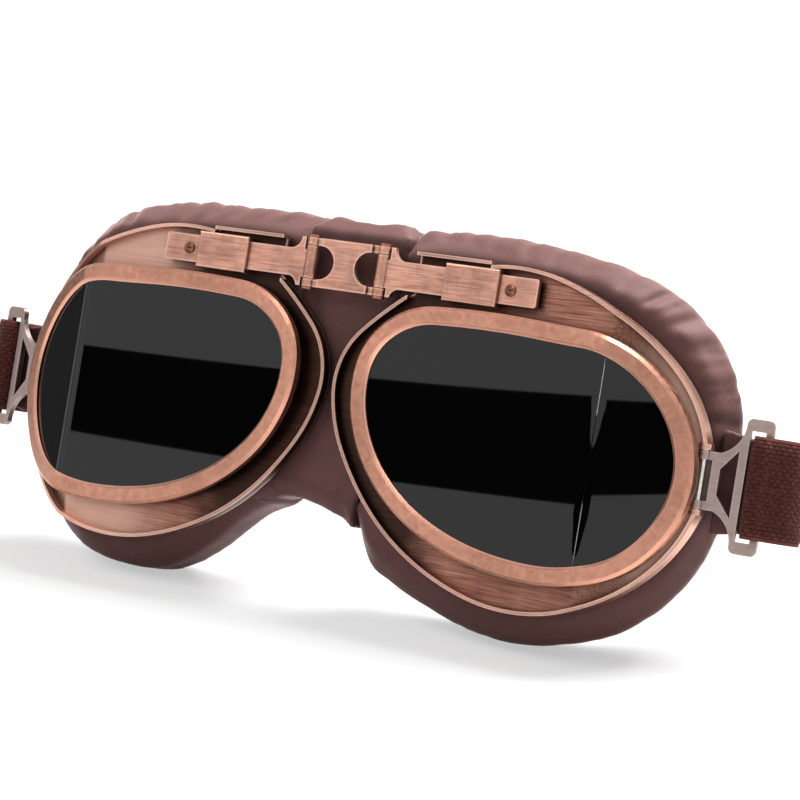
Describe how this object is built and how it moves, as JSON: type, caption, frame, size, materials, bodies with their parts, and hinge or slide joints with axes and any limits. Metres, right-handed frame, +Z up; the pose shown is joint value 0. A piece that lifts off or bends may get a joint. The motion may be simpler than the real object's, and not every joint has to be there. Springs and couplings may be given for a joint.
{
  "type": "aviator flying goggles",
  "caption": "Flying goggles with two split smoked lenses in copper frames, a folding nose bridge, leather cushions and an elastic head strap.",
  "frame": {"origin": "middle of the goggles' outline on the ground that they stand on", "axes": "+X to the wearer's left, +Y from the lenses to the back of the strap, +Z up"},
  "size_m": [0.2502, 0.14, 0.0982],
  "materials": {
    "bezel_copper": "antique copper plating, softly brushed",
    "shell_copper": "antique copper plating, brushed, darkened in the recesses",
    "bridge_copper": "antique copper plating, brushed",
    "bracket_metal": "satin, greyish copper",
    "screw_metal": "darkened copper",
    "pin_steel": "bright",
    "ring_steel": "plain",
    "smoke_lens": "dark smoke, polished",
    "seal_rubber": "matt black",
    "pad_leather": "dark brown soft leather over foam",
    "tab_leather": "near black",
    "strap_webbing": "red-brown woven elastic",
    "adjuster_plastic": "black"
  },
  "bodies": {
    "bridge": {"bridge_link": "bridge_copper", "left_bridge_pin": "bridge_copper", "right_bridge_pin": "bridge_copper", "nose_pad": "pad_leather", "strap_rear": "strap_webbing"},
    "adjuster": {"strap_adjuster": "adjuster_plastic", "strap_tail": "strap_webbing"},
    "left_arm": {"left_strip_arm": "bridge_copper", "left_stop_screw": "screw_metal"},
    "left_eye": {"left_bezel": "bezel_copper", "left_front_pane": "smoke_lens", "left_side_pane": "smoke_lens", "left_lens_seal": "seal_rubber", "left_shell": "shell_copper", "left_clamp_ring": "ring_steel", "left_pad": "pad_leather", "left_temple_tab": "tab_leather", "left_sleeve": "bridge_copper", "left_bracket_pin": "pin_steel"},
    "left_bracket": {"left_strap_bracket": "bracket_metal", "left_strap_loop": "strap_webbing", "left_strap_side": "strap_webbing"},
    "right_arm": {"right_strip_arm": "bridge_copper", "right_stop_screw": "screw_metal"},
    "right_eye": {"right_bezel": "bezel_copper", "right_front_pane": "smoke_lens", "right_side_pane": "smoke_lens", "right_lens_seal": "seal_rubber", "right_shell": "shell_copper", "right_clamp_ring": "ring_steel", "right_pad": "pad_leather", "right_temple_tab": "tab_leather", "right_sleeve": "bridge_copper", "right_bracket_pin": "pin_steel"},
    "right_bracket": {"right_strap_bracket": "bracket_metal", "right_strap_loop": "strap_webbing", "right_strap_side": "strap_webbing"}
  },
  "joints": [
    {"name": "left_nose_fold", "type": "hinge", "parent": "bridge", "child": "left_arm", "pos_m": [0.0108, -0.0453, 0.08816], "axis": [0, 0.3057, 0.9521], "range_deg": [-8, 12], "deforming": ["nose_pad", "strap_rear"]},
    {"name": "left_width_slide", "type": "slide", "parent": "left_arm", "child": "left_eye", "axis": [1, 0, 0], "range_m": [-0.0012, 0.0016]},
    {"name": "left_bracket_swing", "type": "hinge", "parent": "left_eye", "child": "left_bracket", "pos_m": [0.1016, -0.04503, 0.04712], "axis": [0, 0.3057, 0.9521], "range_deg": [-20, 25], "deforming": ["left_strap_side", "left_temple_tab"]},
    {"name": "right_nose_fold", "type": "hinge", "parent": "bridge", "child": "right_arm", "pos_m": [-0.0108, -0.0453, 0.08816], "axis": [0, -0.3057, -0.9521], "range_deg": [-8, 12], "deforming": ["nose_pad", "strap_rear"]},
    {"name": "right_width_slide", "type": "slide", "parent": "right_arm", "child": "right_eye", "axis": [-1, 0, 0], "range_m": [-0.0012, 0.0016]},
    {"name": "right_bracket_swing", "type": "hinge", "parent": "right_eye", "child": "right_bracket", "pos_m": [-0.1016, -0.04503, 0.04712], "axis": [0, -0.3057, -0.9521], "range_deg": [-20, 25], "deforming": ["right_strap_side", "right_temple_tab"]},
    {"name": "adjuster_slide", "type": "hinge", "parent": "bridge", "child": "adjuster", "pos_m": [0, -0.03673, 0.04445], "axis": [0, 0.3057, 0.9521], "range_deg": [-12, 5]}
  ]
}
